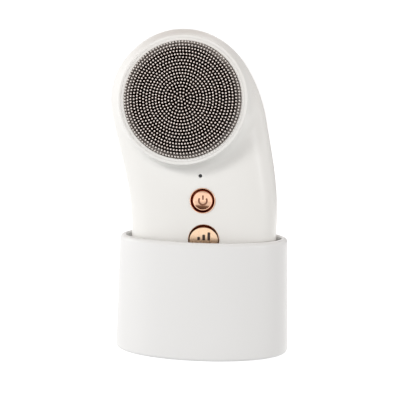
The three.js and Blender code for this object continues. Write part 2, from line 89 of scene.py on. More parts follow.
# Radius of a bristle at parts of its height.
BRISTLE_SHAPE = [(0.34, 0.0), (0.36, 0.45), (0.41, 0.86), (0.41, 0.935), (0.34, 0.975), (0.19, 0.995)]
POWER = {**middle_of("power_bezel"), "bezel": 5.75, "ring": 0.75, "face": 17.5, "proud": 0.35,
         "dish": 1.15, "funnel": 0.45, "round": 0.85, "steep": 1.4, "scallop": 0.85}
LEVEL = {**middle_of("level_bezel"), "bezel": 7.05, "ring": 0.22, "face": 17.1, "proud": 0.1,
         "dish": 0.0, "funnel": 0.05, "round": 0.3, "steep": 4.0, "scallop": 1.25}
BEZEL = {"back": 14.2, "flange": 14.95, "spread": 1.1}
CAP = {"back": 13.25, "flange_back": 13.6, "flange": 14.1, "stem": 1.5, "spread": 0.7, "gap": 0.12}
DISH_POWER = 2.5
MARK_ROOT = 0.3
LAMP = {**middle_of("indicator_lens"), "r": 0.78, "back": 10.9, "flange": 14.6, "flange_r": 1.3}

head_joint = next(j for j in frame["joints"] if j["name"] == "brush_spin")
HEAD_AT = np.array(head_joint["pos_m"]) * 1000
OUT = np.array(head_joint["axis"])
ACROSS = np.array([1.0, 0.0, 0.0])
UP = np.cross(OUT, ACROSS)
HEAD_FRAME = (HEAD_AT, ACROSS, UP, OUT)
FLOOR_FRAME = (np.zeros(3), ACROSS, np.array([0.0, 1.0, 0.0]), np.array([0.0, 0.0, 1.0]))


def face_frame(spot):
    """The handset's front at a key or lamp: across, up, and out towards the viewer."""
    middle = np.array([spot["x"], 0.0, spot["z"]])
    return (middle, ACROSS, np.array([0.0, 0.0, 1.0]), np.array([0.0, -1.0, 0.0]))


def place(at, local):
    """Local X, Y, height points in a frame, as row-frame points."""
    origin, across, up, out = at
    local = np.asarray(local, float)
    return origin + local[..., 0:1] * across + local[..., 1:2] * up + local[..., 2:3] * out


# ---- mesh building -----------------------------------------------------------------------------
def make_object(name, verts_mm, faces, material=None, smooth=35.0):
    """A mesh object from millimetre points, facing outwards, sharp past the smooth angle in degrees."""
    mesh = bpy.data.meshes.new(name)
    mesh.from_pydata((np.asarray(verts_mm) / 1000).tolist(), [], faces)
    mesh.validate()
    mesh.update()
    obj = bpy.data.objects.new(name, mesh)
    scene.collection.objects.link(obj)
    if signed_volume(mesh) < 0:
        mesh.flip_normals()
    soften(mesh, smooth)
    if material:
        mesh.materials.append(material)
    return obj


def points_of(mesh):
    """Places of a mesh's points, in metres."""
    at = np.zeros(len(mesh.vertices) * 3)
    mesh.vertices.foreach_get("co", at)
    return at.reshape(-1, 3)


def signed_volume(mesh):
    """Six times the volume; below zero when the faces point inwards."""
    mesh.calc_loop_triangles()
    at = points_of(mesh)
    tri = np.zeros(len(mesh.loop_triangles) * 3, int)
    mesh.loop_triangles.foreach_get("vertices", tri)
    a, b, c = (at[tri.reshape(-1, 3)[:, k]] for k in range(3))
    return float((a * np.cross(b, c)).sum())


def soften(mesh, angle):
    """Shades a mesh smooth, except along edges sharper than the angle in degrees."""
    mesh.shade_smooth()
    if angle:
        mesh.set_sharp_from_angle(angle=math.radians(angle))


def skin(name, rows, material=None, smooth=35.0, close=False):
    """Joins rows of points, each a ring, into a skin. A row of one point is a pole."""
    verts, starts = [], []
    for row in rows:
        starts.append(len(verts))
        verts.extend(np.atleast_2d(row).tolist())
    faces = []
    pairs = list(zip(range(len(rows) - 1), range(1, len(rows))))
    if close:
        pairs.append((len(rows) - 1, 0))
    for i, j in pairs:
        low, high = len(np.atleast_2d(rows[i])), len(np.atleast_2d(rows[j]))
        count = max(low, high)
        for k in range(count):
            m = (k + 1) % count
            a, b, c, d = starts[i] + k, starts[i] + m, starts[j] + m, starts[j] + k
            if low == 1:
                faces.append((starts[i], c, d))
            elif high == 1:
                faces.append((a, b, starts[j]))
            else:
                faces.append((a, b, c, d))
    return make_object(name, verts, faces, material, smooth)


def rounded(points, steps=5):
    """A profile of (radius, height, round) with its corners rounded, as plain pairs."""
    out = []
    for i, (x, y, r) in enumerate(points):
        here = np.array([x, y])
        if r <= 0 or i in (0, len(points) - 1):
            out.append(here)
            continue
        back = np.array(points[i - 1][:2]) - here
        ahead = np.array(points[i + 1][:2]) - here
        lb, la = np.linalg.norm(back), np.linalg.norm(ahead)
        back, ahead = back / lb, ahead / la
        half = math.acos(max(-1.0, min(1.0, float(back @ ahead)))) / 2
        run = min(r / math.tan(half), lb * 0.49, la * 0.49)
        radius = run * math.tan(half)
        middle = here + (back + ahead) / np.linalg.norm(back + ahead) * (radius / math.sin(half))
        start, end = here + back * run - middle, here + ahead * run - middle
        swing = math.acos(max(-1.0, min(1.0, float(start @ end) / radius**2)))
        for k in range(steps + 1):
            t = k / steps
            out.append(middle + (math.sin((1 - t) * swing) * start + math.sin(t * swing) * end)
                       / math.sin(swing))
    return [(float(p[0]), float(p[1])) for p in out]


def turn_angles(count):
    """Angles of one whole turn in equal steps."""
    return np.arange(count) / count * 2 * np.pi


def circle(radius, height, count, at):
    """Points round a frame's out direction."""
    angle = turn_angles(count)
    local = np.stack([radius * np.cos(angle), radius * np.sin(angle), np.full(count, height)], 1)
    return place(at, local)


def turned(name, profile, at, count=96, material=None, smooth=35.0, close=False):
    """A (radius, height) profile turned about a frame's out direction."""
    rows = []
    for radius, height in profile:
        if radius < 1e-6:
            rows.append(place(at, [[0, 0, height]]))
        else:
            rows.append(circle(radius, height, count, at))
    return skin(name, rows, material, smooth, close)


def carve(obj, cutters, smooth=35.0):
    """Cuts closed meshes out of obj and removes them."""
    for cutter in cutters:
        modifier = obj.modifiers.new("cut", "BOOLEAN")
        modifier.operation = "DIFFERENCE"
        modifier.solver = "EXACT"
        modifier.object = cutter
    bpy.context.view_layer.update()
    graph = bpy.context.evaluated_depsgraph_get()
    made = bpy.data.meshes.new_from_object(obj.evaluated_get(graph))
    obj.modifiers.clear()
    obj.data = made
    soften(made, smooth)
    for cutter in cutters:
        bpy.data.objects.remove(cutter)
    return obj


# ---- procedural materials ----------------------------------------------------------------------
class Nodes:
    """Short-hand for one material's node tree, in object coordinates (metres)."""

    def __init__(self, name):
        self.material = bpy.data.materials.new(name)
        self.material.use_nodes = True
        self.tree = self.material.node_tree
        self.shader = self.tree.nodes["Principled BSDF"]
        self.coords = self.tree.nodes.new("ShaderNodeTexCoord").outputs["Object"]

    def new(self, kind, **inputs):
        node = self.tree.nodes.new("ShaderNode" + kind)
        for key, value in inputs.items():
            self.feed(node.inputs[key.replace("_", " ")], value)
        return node

    def feed(self, socket, value):
        if isinstance(value, bpy.types.NodeSocket):
            self.tree.links.new(value, socket)
        else:
            socket.default_value = value

    def noise(self, scale, detail=3.0, rough=0.5, vector=None):
        node = self.new("TexNoise", Scale=scale, Detail=detail, Roughness=rough)
        self.feed(node.inputs["Vector"], vector or self.coords)
        return node.outputs["Fac"]

    def span(self, value, low, high, start=0.0, end=1.0):
        node = self.new("MapRange")
        node.inputs["From Min"].default_value = start
        node.inputs["From Max"].default_value = end
        self.feed(node.inputs["Value"], value)
        self.feed(node.inputs["To Min"], low)
        self.feed(node.inputs["To Max"], high)
        return node.outputs["Result"]

    def math(self, operation, a, b=0.0):
        node = self.tree.nodes.new("ShaderNodeMath")
        node.operation = operation
        self.feed(node.inputs[0], a)
        self.feed(node.inputs[1], b)
        return node.outputs[0]

    def ramp(self, value, stops):
        node = self.tree.nodes.new("ShaderNodeValToRGB")
        while len(node.color_ramp.elements) < len(stops):
            node.color_ramp.elements.new(0.5)
        for element, (position, colour) in zip(node.color_ramp.elements, stops):
            element.position = position
            element.color = (*colour, 1)
        self.feed(node.inputs["Fac"], value)
        return node.outputs["Color"]

    def attribute(self, name):
        node = self.tree.nodes.new("ShaderNodeAttribute")
        node.attribute_name = name
        return node.outputs["Fac"]

    def mix(self, part, first, second):
        node = self.tree.nodes.new("ShaderNodeMixRGB")
        for socket, value in zip(node.inputs, (part, first, second)):
            self.feed(socket, value)
        return node.outputs["Color"]

    def bump(self, height, distance, strength=1.0):
        node = self.new("Bump", Strength=strength, Distance=distance)
        self.feed(node.inputs["Height"], height)
        self.feed(self.shader.inputs["Normal"], node.outputs["Normal"])

    def put(self, **inputs):
        for key, value in inputs.items():
            self.feed(self.shader.inputs[key.replace("_", " ")], value)
        return self.material


def moulded(name, dark, light, roughness, grain=9000.0, depth=0.000004, specular=0.5):
    """Moulded plastic: faint cloudy tone, fine spark-eroded grain, slightly uneven gloss."""
    n = Nodes(name)
    tone = n.ramp(n.noise(24.0, 2.0), [(0.3, dark), (0.7, light)])
    fine = n.noise(grain, 2.0)
    n.bump(fine, depth)
    rough = n.math("ADD", n.span(n.noise(60.0, 2.0), roughness - 0.01, roughness + 0.01),
                   n.span(fine, -0.01, 0.01))
    return n.put(Base_Color=tone, Roughness=rough, Specular_IOR_Level=specular)


def metal(name, dark, light, roughness, scratches=2600.0, painted_shade=None):
    """Plated or turned metal: hairline scratches, faintly uneven plating, and painted shade: darker where
    points are tagged, in place of shade and dark reflections in gaps and bevels.
    """
    n = Nodes(name)
    stretch = n.new("Mapping", Scale=(1.0, 1.0, 0.06))
    n.feed(stretch.inputs["Vector"], n.coords)
    hair = n.noise(scratches, 2.0, 0.6, stretch.outputs["Vector"])
    cloud = n.noise(260.0, 3.0)
    n.bump(hair, 0.0000008, 0.6)
    rough = n.math("ADD", n.span(cloud, roughness - 0.02, roughness + 0.04), n.span(hair, -0.02, 0.03))
    tone = n.ramp(cloud, [(0.3, dark), (0.7, light)])
    # Painted shade: tagged points take a dark colour that stands in for shade and dark reflections.
    if painted_shade:
        tone = n.mix(n.attribute("painted_shade"), tone, (*painted_shade, 1))
    return n.put(Base_Color=tone, Metallic=1.0, Roughness=rough)


SHELL = moulded("shell_white", (0.842, 0.835, 0.807), (0.848, 0.841, 0.813), 0.28, 9000.0, 0.0000015)
STAND_WHITE = moulded("stand_white", (0.795, 0.796, 0.788), (0.801, 0.802, 0.794), 0.28, 7000.0, 0.0000015)
SILICONE = moulded("soft_grey", (0.30, 0.31, 0.33), (0.34, 0.35, 0.37), 0.62, 5000.0, 0.00001)
RUBBER = moulded("dark_rubber", (0.018, 0.017, 0.017), (0.03, 0.029, 0.028), 0.7, 4000.0, 0.00002)
GREY = moulded("grey_plastic", (0.22, 0.225, 0.24), (0.26, 0.265, 0.28), 0.5, 6000.0, 0.00001)
BLACK = moulded("black_plastic", (0.008, 0.008, 0.009), (0.016, 0.016, 0.018), 0.42, 8000.0)
LENS = moulded("black_gloss", (0.006, 0.006, 0.008), (0.01, 0.01, 0.012), 0.12, 5000.0, 0.000001)
FERRITE = moulded("ferrite", (0.03, 0.03, 0.032), (0.055, 0.055, 0.06), 0.8, 2500.0, 0.00003)
CELL = moulded("cell_blue", (0.03, 0.09, 0.27), (0.04, 0.12, 0.33), 0.3, 3000.0)
INK = moulded("mark_enamel", (0.035, 0.014, 0.008), (0.06, 0.026, 0.014), 0.35, 9000.0)
# Dark rose-brown of the power sign: painted shade standing in for the shading of an embossed sign.
SIGN_PAINTED_SHADE = moulded("sign_painted_shade", (0.20, 0.075, 0.035), (0.26, 0.105, 0.05), 0.3, 9000.0)
# The rose gold's dark brown is painted shade and reflection in the gap between each bezel and its cap.
ROSE = metal("rose_gold", (0.84, 0.53, 0.37), (0.89, 0.585, 0.42), 0.13, painted_shade=(0.40, 0.12, 0.045))
# The satin rose gold's dark brown is painted shade and reflection on the level cap's cut-back top bevel.
SATIN_ROSE = metal("satin_rose_gold", (0.84, 0.60, 0.41), (0.89, 0.65, 0.46), 0.26,
                   painted_shade=(0.20, 0.06, 0.025))
STEEL = metal("steel", (0.50, 0.51, 0.53), (0.60, 0.61, 0.63), 0.26, 1800.0)
COPPER = metal("copper_wire", (0.55, 0.22, 0.10), (0.68, 0.30, 0.15), 0.3, 1200.0)
BRASS = metal("brass", (0.62, 0.45, 0.18), (0.72, 0.54, 0.25), 0.22, 1500.0)


def board_material():
    """Solder mask over a grid of copper traces."""
    n = Nodes("board_green")
    bricks = n.new("TexBrick", Scale=420.0, Mortar_Size=0.035)
    turn = n.new("Mapping", Rotation=(math.pi / 2, 0.0, 0.0))
    n.feed(turn.inputs["Vector"], n.coords)
    n.feed(bricks.inputs["Vector"], turn.outputs["Vector"])
    traces = bricks.outputs["Fac"]
    tone = n.ramp(traces, [(0.0, (0.012, 0.085, 0.045)), (1.0, (0.03, 0.17, 0.09))])
    n.bump(traces, 0.00003, 0.5)
    return n.put(Base_Color=tone, Roughness=n.span(n.noise(900.0), 0.3, 0.45))


def bristle_material():
    """Cream tips over shafts that fall away to near-black at the root; pale all along at the edge, painted
    light standing in for light through the outer bristles.
    """
    n = Nodes("bristle")
    speckle = n.noise(2200.0, 2.0)
    height = n.math("ADD", n.attribute("along"), n.span(speckle, -0.02, 0.02))
    inner = n.ramp(height, [(0.0, (0.004, 0.0008, 0.0004)), (0.88, (0.016, 0.004, 0.002)),
                            (0.945, (0.30, 0.13, 0.075)), (0.97, (0.84, 0.74, 0.67)),
                            (1.0, (0.97, 0.91, 0.87))])
    # Painted light: the outer rings are pale all along, in place of light shining through translucent
    # bristles.
    outer = n.ramp(height, [(0.0, (0.62, 0.56, 0.52)), (0.80, (0.68, 0.62, 0.58)),
                            (0.95, (0.74, 0.69, 0.65)), (1.0, (0.80, 0.76, 0.72))])
    n.bump(n.noise(9000.0, 2.0), 0.00001, 0.4)
    return n.put(Base_Color=n.mix(n.attribute("edge"), inner, outer), Roughness=n.span(speckle, 0.45, 0.55),
                 Specular_IOR_Level=0.12)


def bed_material():
    """Near-black bed the bristles are set in, paler towards its edge: painted light that lifts the shade
    between the bristles and the lip.
    """
    n = Nodes("bristle_bed")
    edge = n.math("ADD", n.attribute("edge"), n.span(n.noise(700.0, 3.0), -0.04, 0.04))
    # Painted light: pale towards the edge, lifting the shade next to the lip.
    tone = n.ramp(edge, [(0.0, (0.005, 0.002, 0.0015)), (0.3, (0.03, 0.018, 0.013)),
                         (1.0, (0.66, 0.60, 0.56))])
    n.bump(n.noise(2500.0, 2.0), 0.00002, 0.6)
    return n.put(Base_Color=tone, Roughness=n.span(n.noise(1500.0), 0.5, 0.65), Specular_IOR_Level=0.15)


BOARD = board_material()
BRISTLE = bristle_material()
BED = bed_material()


# ---- handset form ------------------------------------------------------------------------------
def smoothstep(z, low, high):
    """0 below low, 1 above high and a smooth rise between."""
    t = np.clip((np.asarray(z, float) - low) / (high - low), 0, 1)
    return t * t * (3 - 2 * t)


def section(z, inset):
    """Centre line, half-width and half-thickness at a height; zero size outside the form."""
    g = GRIP
    z = np.asarray(z, float)
    centre = g["foot"] + g["lean"] * smoothstep(z, *LEAN_SPAN)
    widen = smoothstep(z, g["low_centre"], g["high_centre"])
    width = g["waist"] + (g["shoulder"] - g["waist"]) * widen - inset
    depth = g["thin"] + (g["thick"] - g["thin"]) * smoothstep(z, *THICK_SPAN) - inset
    high = np.clip((z - g["high_centre"]) / (g["top"] - g["high_centre"] - inset), 0, 1)
    low = np.clip((g["low_centre"] - z) / (g["low_centre"] - g["low"] - inset), 0, 1)
    foot = (1 - low ** g["foot_n"]) ** (1 / g["foot_n"])
    width = width * np.sqrt(1 - high**2) * foot
    depth = depth * (1 - high ** g["crown_n"]) ** (1 / g["crown_n"]) * foot
    return centre, width, depth


def thickness(x, z, inset=0.0):
    """How far the form stands out from the seam plane at points across and up."""
    centre, width, depth = section(z, inset)
    across = np.clip(np.abs(x - centre) / np.maximum(width, 1e-9), 0, 1)
    return depth * (1 - across ** GRIP["n"]) ** (1 / GRIP["n"])


def reach(x, z, dx, dz, inset):
    """Distance from points inside the outline to the outline along directions."""
    near, far = np.zeros_like(dx), np.full_like(dx, 140.0)
    for _ in range(46):
        middle = (near + far) / 2
        centre, width, _ = section(z + dz * middle, inset)
        inside = np.abs(x + dx * middle - centre) < width
        near, far = np.where(inside, middle, near), np.where(inside, far, middle)
    return near


def ease(count, power=1.9):
    """Steps from 0, left out, to 1 that close up towards 1."""
    t = np.arange(1, count + 1) / count
    return 1 - (1 - t) ** power


def seam_rim(edge, dx, dz, y):
    """The edge of a shell turned in a little where it meets the seam."""
    rim = edge.copy()
    rim[:, 0] -= dx * GRIP["seam_turn"]
    rim[:, 1] = y
    rim[:, 2] -= dz * GRIP["seam_turn"]
    return rim


def outward(ring, height):
    """Directions across and up from the head's axis through each point of a ring about it."""
    away = ring[:, [0, 2]] - place(HEAD_FRAME, [0, 0, height])[[0, 2]]
    away /= np.linalg.norm(away, axis=1, keepdims=True)
    return away[:, 0], away[:, 1]


def swept_front(start):
    """Rows from the collar's foot down its hollow sweep and out over the grip to the seam."""
    dx, dz = outward(start, HEAD["shoulder"])
    room = reach(start[:, 0], start[:, 2], dx, dz, GRIP["skin"])
    width = np.minimum(HEAD["flare"], room * HEAD["flare_share"])
    sweep = (1 - np.cos(np.linspace(0, np.pi / 2, 15))) ** 1.15
    radii = [width * t for t in sweep[1:]] + [width + (room - width) * t for t in ease(34)]
    rows = []
    for r in radii:
        x, z = start[:, 0] + dx * r, start[:, 2] + dz * r
        lift = 1 - np.sqrt(np.clip(1 - (1 - np.minimum(1, r / width)) ** 2, 0, 1))
        low = -thickness(x, z, GRIP["skin"])
        y = low + (start[:, 1] - low) * lift
        rows.append(np.stack([x, np.minimum(y, -GRIP["seam"] - SEAM_CLEAR), z], 1))
    return rows + [seam_rim(rows[-1], dx, dz, -GRIP["seam"])]


def front_inside(rays):
    """Rows over the inside of the front from the seam back to the tube the head sits in."""
    tube = circle(HEAD["tube"], HEAD["back"], rays, HEAD_FRAME)
    dx, dz = outward(tube, HEAD["back"])
    room = np.maximum(reach(tube[:, 0], tube[:, 2], dx, dz, GRIP["wall"]), 0.05)
    rows = []
    for t in [*ease(10)[::-1], 0.0]:
        x, z = tube[:, 0] + dx * room * t, tube[:, 2] + dz * room * t
        y = -np.maximum(thickness(x, z, GRIP["wall"]), GRIP["seam"])
        rows.append(np.stack([x, y, z], 1))
    return rows + [tube]


def face_bore(spot, radius, count):
    """A cylinder through the front at a key or lamp, to cut an opening with."""
    back, front = OPENING["back"], OPENING["front"]
    return turned("cut", [(0, back), (radius, back), (radius, front), (0, front)], face_frame(spot), count)


def front_shell():
    """Front of the handset: the head's well, its collar and sweep, the grip, and the key openings."""
    rays = 288
    h = HEAD
    well = rounded([(h["shaft"], h["back"], 0), (h["shaft"], h["floor"], 0.3), (h["well"], h["floor"], 1.0),
                    (h["well"], 0.0, 0.05), (h["collar"], 0.0, 1.2), (h["collar"], h["shoulder"], 0)], 6)
    rows = [circle(radius, height, rays, HEAD_FRAME) for radius, height in well]
    rows += swept_front(rows[-1]) + front_inside(rays)
    shell = skin("handset_front", rows, SHELL, 40, close=True)
    cutters = [face_bore(key, key["bezel"] + OPENING["key_gap"], 96) for key in (POWER, LEVEL)]
    cutters.append(face_bore(LAMP, LAMP["r"] + OPENING["lamp_gap"], 32))
    return carve(shell, cutters, 40)


def grip_fan(rays):
    """Directions across and up all round the middle of the grip."""
    angle = turn_angles(rays)
    return np.cos(angle), np.sin(angle)


def fan_reach(dx, dz, inset):
    """Distance from the middle of the grip to its outline along the fan."""
    cx, cz = GRIP_MIDDLE
    return reach(np.full(len(dx), cx), np.full(len(dx), cz), dx, dz, inset)


def rear_rows(dx, dz, inset, steps, clearance):
    """Rows over the rear form from its middle out to the seam, in step with the fan."""
    cx, cz = GRIP_MIDDLE
    out = fan_reach(dx, dz, inset)
    rows = []
    for t in steps:
        x, z = cx + dx * out * t, cz + dz * out * t
        rows.append(np.stack([x, np.maximum(thickness(x, z, inset), GRIP["seam"] + clearance), z], 1))
    return rows


def rear_pole(inset):
    """Point of the rear form at its middle."""
    cx, cz = GRIP_MIDDLE
    return np.array([[cx, float(thickness(cx, cz, inset)), cz]])


def rear_shell():
    """Back of the handset, a thin shell out to the seam."""
    dx, dz = grip_fan(256)
    rows = [rear_pole(GRIP["skin"])] + rear_rows(dx, dz, GRIP["skin"], ease(44, 2.0), SEAM_CLEAR)
    rows.append(seam_rim(rows[-1], dx, dz, GRIP["seam"]))
    rows += rear_rows(dx, dz, GRIP["wall"], ease(10)[::-1], 0.0) + [rear_pole(GRIP["wall"])]
    return skin("handset_rear", rows, SHELL, 40)


def gasket():
    """The band that shows in the seam, rounded outwards."""
    cx, cz = GRIP_MIDDLE
    dx, dz = grip_fan(256)
    rows = []
    for inset, y in ((1.7, -0.25), (0.45, -0.25), (0.35, 0.0), (0.45, 0.25), (1.7, 0.25)):
        r = fan_reach(dx, dz, inset)
        rows.append(np.stack([cx + dx * r, np.full(len(r), y), cz + dz * r], 1))
    return skin("handset_gasket", rows, SHELL, 40, close=True)


# ---- stand -------------------------------------------------------------------------------------
def superellipse(half_wide, half_deep, power, count=256):
    """X and Y of points round an oval that is squarer the higher its power."""
    angle = turn_angles(count)
    c, s = np.cos(angle), np.sin(angle)
    x = half_wide * np.sign(c) * np.abs(c) ** (2 / power)
    y = half_deep * np.sign(s) * np.abs(s) ** (2 / power)
    return x, y


def oval_ring(inset, height):
    """The stand's outline, drawn in by inset, at a height."""
    x, y = superellipse(STAND["a"] - inset, STAND["b"] - inset, STAND["n"])
    return np.stack([x, y, np.full(len(x), float(height))], 1)


def grip_ring(inset, height):
    """The handset's level section, drawn in by inset, at a height."""
    centre, width, depth = section(height, inset)
    x, y = superellipse(width, depth, GRIP["n"])
    return np.stack([centre + x, y, np.full(len(x), float(height))], 1)


def stacked(name, stations, material=None, smooth=35.0):
    """An oval solid from (inset, height) stations; an inset of None is a pole."""
    rows = [np.array([[0, 0, h]]) if inset is None else oval_ring(inset, h) for inset, h in stations]
    return skin(name, rows, material, smooth)


def slot_block(name, half_wide, half_tall, radius, back, front, z):
    """A round-cornered block along Y from back to front, centred at height z."""
    outline = []
    for k, (sx, sz) in enumerate([(1, 1), (-1, 1), (-1, -1), (1, -1)]):
        for t in np.linspace(0, np.pi / 2, 9):
            angle = t + k * np.pi / 2
            outline.append((sx * (half_wide - radius) + radius * math.cos(angle),
                            z + sz * (half_tall - radius) + radius * math.sin(angle)))
    outline = np.array(outline)
    rows = [np.array([[0, back, z]])]
    for y in (back, front):
        rows.append(np.stack([outline[:, 0], np.full(len(outline), y), outline[:, 1]], 1))
    rows.append(np.array([[0, front, z]]))
    return skin(name, rows)


def stand_cup():
    """Round-footed cup that narrows a little to a rolled rim, with a floor and a skirt below it."""
    s = STAND
    inner = s["taper"] + s["wall"]
    lip = s["wall"] - s["rim"]
    under = [(None, s["floor_low"]), (s["skirt"] + 1.0, s["floor_low"]),
             (s["skirt"] + 0.3, s["floor_low"] - 0.3), (s["skirt"], s["floor_low"] - 1.0),
             (s["skirt"], s["bottom"] + 0.2), (s["skirt"] - 0.2, s["bottom"])]
    foot = [(s["foot"] * (1 - math.sin(t)), s["bottom"] + s["foot"] * (1 - math.cos(t)))
            for t in np.linspace(0, np.pi / 2, 9)]
    side = [(s["taper"] * (z - s["taper_from"]) / (s["top"] - s["taper_from"]), z)
            for z in np.linspace(6, s["top"] - s["rim"] - 2, 14)]
    rim = [(s["taper"] + s["rim"] * (1 - math.cos(t)), s["top"] - s["rim"] * (1 - math.sin(t)))
           for t in np.linspace(0, np.pi / 2, 12)]
    rim += [(inner - lip * (1 - math.sin(t)), s["top"] - 0.8 * (1 - math.cos(t)))
            for t in np.linspace(0, np.pi / 2, 6)[1:]]
    inside = [(inner, z) for z in (44, 34, 24, s["floor_top"] + 0.8)]
    inside += [(inner + 0.25, s["floor_top"] + 0.2), (inner + 0.9, s["floor_top"]), (None, s["floor_top"])]
    cup = stacked("stand_body", under + foot + side + rim + inside, STAND_WHITE, 40)
    slot = slot_block("cut", INLET["wide"] + 0.3, INLET["tall"] + 0.15, INLET["round"] + 0.1, 20.0, 32.0,
                      INLET["z"] + 0.1)
    return carve(cup, [slot], 40)


def cradle():
    """Liner that fills the cup's foot round a pocket of the grip's own shape."""
    c = CRADLE
    outer = STAND["taper"] + STAND["wall"] + c["gap"]
    low, fit = GRIP["low"] - c["fit"], -c["fit"]
    rows = [np.array([[0, 0, c["low"]]]), oval_ring(outer + 0.4, c["low"]),
            oval_ring(outer, c["low"] + 0.4), oval_ring(outer, c["top"] - c["round"])]
    rows += [oval_ring(outer + c["round"] * (1 - math.cos(t)), c["top"] - c["round"] * (1 - math.sin(t)))
             for t in np.linspace(0, np.pi / 2, 7)[1:]]
    rows += [grip_ring(fit - 0.9, c["top"]), grip_ring(fit - 0.35, c["top"] - 0.2)]
    for t in (1 - 0.8 / (c["top"] - low), 0.8, 0.62, 0.45, 0.3, 0.18, 0.09, 0.035, 0.008):
        rows.append(grip_ring(fit, low + (c["top"] - low) * t))
    rows.append(np.array([[GRIP["foot"], 0, low]]))
    return skin("stand_liner", rows, SILICONE, 40)


def screw_bore(node):
    """Clearance and head seat for one of the base plate's screws."""
    low, high = (v * 1000 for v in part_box(node))
    at = (np.array([(low.x + high.x) / 2, (low.y + high.y) / 2, 0]), *FLOOR_FRAME[1:])
    return turned("cut", [(0, -1), (SCREW["head"], -1), (SCREW["head"], SCREW["seat"]),
                          (SCREW["shank"], SCREW["seat"]), (SCREW["shank"], 5), (0, 5)], at, 48)


def base_plate():
    """Oval plate under the cup, with a recess for the pad and four screw holes."""
    recess = PAD["inset"] - PAD["fit"]
    low, top, inset, edge = (PLATE[key] for key in ("low", "top", "inset", "edge"))
    plate = stacked("stand_base", [(None, low), (recess, low), (inset + edge, low), (inset, low + edge),
                                   (inset, top - edge), (inset + edge, top), (None, top)], STAND_WHITE)
    cutters = [stacked("cut", [(None, -1), (recess, -1), (recess, PAD["recess"]), (None, PAD["recess"])])]
    cutters += [screw_bore(f"stand_screw_{k}") for k in range(1, 5)]
    return carve(plate, cutters)


def grip_pad():
    """Rubber pad the stand rests on."""
    inset, top = PAD["inset"], PAD["top"]
    return stacked("stand_pad", [(None, 0.0), (inset + 0.35, 0.0), (inset, 0.35), (inset, top - 0.1),
                                 (inset + 0.1, top), (None, top)], RUBBER)


def inlet():
    """Charging inlet at the back: an open steel shell and the tongue inside it."""
    i = INLET
    shell = slot_block("charge_inlet", i["wide"], i["tall"], i["round"], i["back"], i["face"], i["z"])
    carve(shell, [slot_block("cut", i["wide"] - i["wall"], i["tall"] - i["wall"], i["round"] - 0.4,
                             i["back"] + 1.2, i["face"] + 1.6, i["z"])])
    shell.data.materials.append(STEEL)
    tongue = slot_block("charge_contact", 3.2, 0.35, 0.2, i["back"] + 1.1, i["face"] - 1.2, i["z"])
    tongue.data.materials.append(BLACK)
    return shell, tongue


# ---- brush head --------------------------------------------------------------------------------
def brush_cup():
    """White ring and floor that hold the bristle bed, on a hub with a hexagonal socket."""
    b, h = BRUSH, HUB
    profile = rounded([(0, h["back"], 0), (h["radius"], h["back"], 0.3), (h["radius"], b["back"], 0.1),
                       (b["cup"], b["back"], 0.6), (b["cup"], b["lip_face"], 0.05),
                       (b["lip"], b["lip_face"], 0.3), (b["lip"], b["floor"], 0.1),
                       (h["radius"], b["floor"], 0.1), (h["radius"], h["face"], 0.2), (0, h["face"], 0)], 5)
    cup = turned("brush_cup_ring", profile, HEAD_FRAME, 192, SHELL)
    socket = turned("cut", [(0, -9), (h["socket"], -9), (h["socket"], h["socket_end"]),
                            (0, h["socket_end"])], HEAD_FRAME, 6)
    return carve(cup, [socket])


def tag(obj, name, values):
    """Stores a value at each point for the material to read."""
    layer = obj.data.attributes.new(name, "FLOAT", "POINT")
    layer.data.foreach_set("value", np.array(values, np.float32))


def tag_edge(obj):
    """How near each point is to the edge of the brush, 0 to 1."""
    off = points_of(obj.data) * 1000 - HEAD_AT
    radius = np.linalg.norm(off - np.outer(off @ OUT, OUT), axis=1)
    tag(obj, "edge", smoothstep(radius, *PAINTED_LIGHT_SPAN))


def bristle_bed():
    """Disc the bristles stand in, clear of the hub, with rows close together near its edge."""
    b = BRUSH
    clear, edge, shelf = HUB["radius"] + 0.2, b["pad"] + 0.1, HUB["face"] + 0.2
    profile = rounded([(0, shelf, 0), (clear, shelf, 0), (clear, b["pad_back"], 0),
                       (edge, b["pad_back"], 0.1), (edge, b["pad_face"], 0.3)], 4)
    profile += [(float(r), b["pad_face"]) for r in (*np.linspace(b["pad"] - 0.3, 21.5, 9), 0)]
    bed = turned("brush_bed", profile, HEAD_FRAME, 128, BED)
    tag_edge(bed)
    return bed


def bristle_spots(rng):
    """Middles of the bristles: one in the middle and rings round it, each a little uneven."""
    stray = 0.015
    spots = [(0.0, 0.0)]
    for k, count in enumerate(RING_COUNTS, 1):
        phase = rng.random() * 2 * np.pi
        for m in range(count):
            angle = phase + 2 * np.pi * (m + rng.normal(0, stray)) / count
            radius = k * BRUSH["pitch"] + rng.normal(0, stray)
            spots.append((radius * math.cos(angle), radius * math.sin(angle)))
    return np.array(spots)


def bristle_tops(spots, rng):
    """Heights of the tips: a shallow dome, a little uneven, falling away in the outer rings."""
    radial = np.linalg.norm(spots, axis=1)
    dome = BRUSH["tip_edge"] + BRUSH["dome"] * (1 - (radial / BRUSH["pad"]) ** 2)
    uneven = np.minimum(dome + rng.normal(0, 0.05, len(spots)), dome + 0.04)
    return uneven - BRUSH["fall"] * smoothstep(radial, *FALL_SPAN)


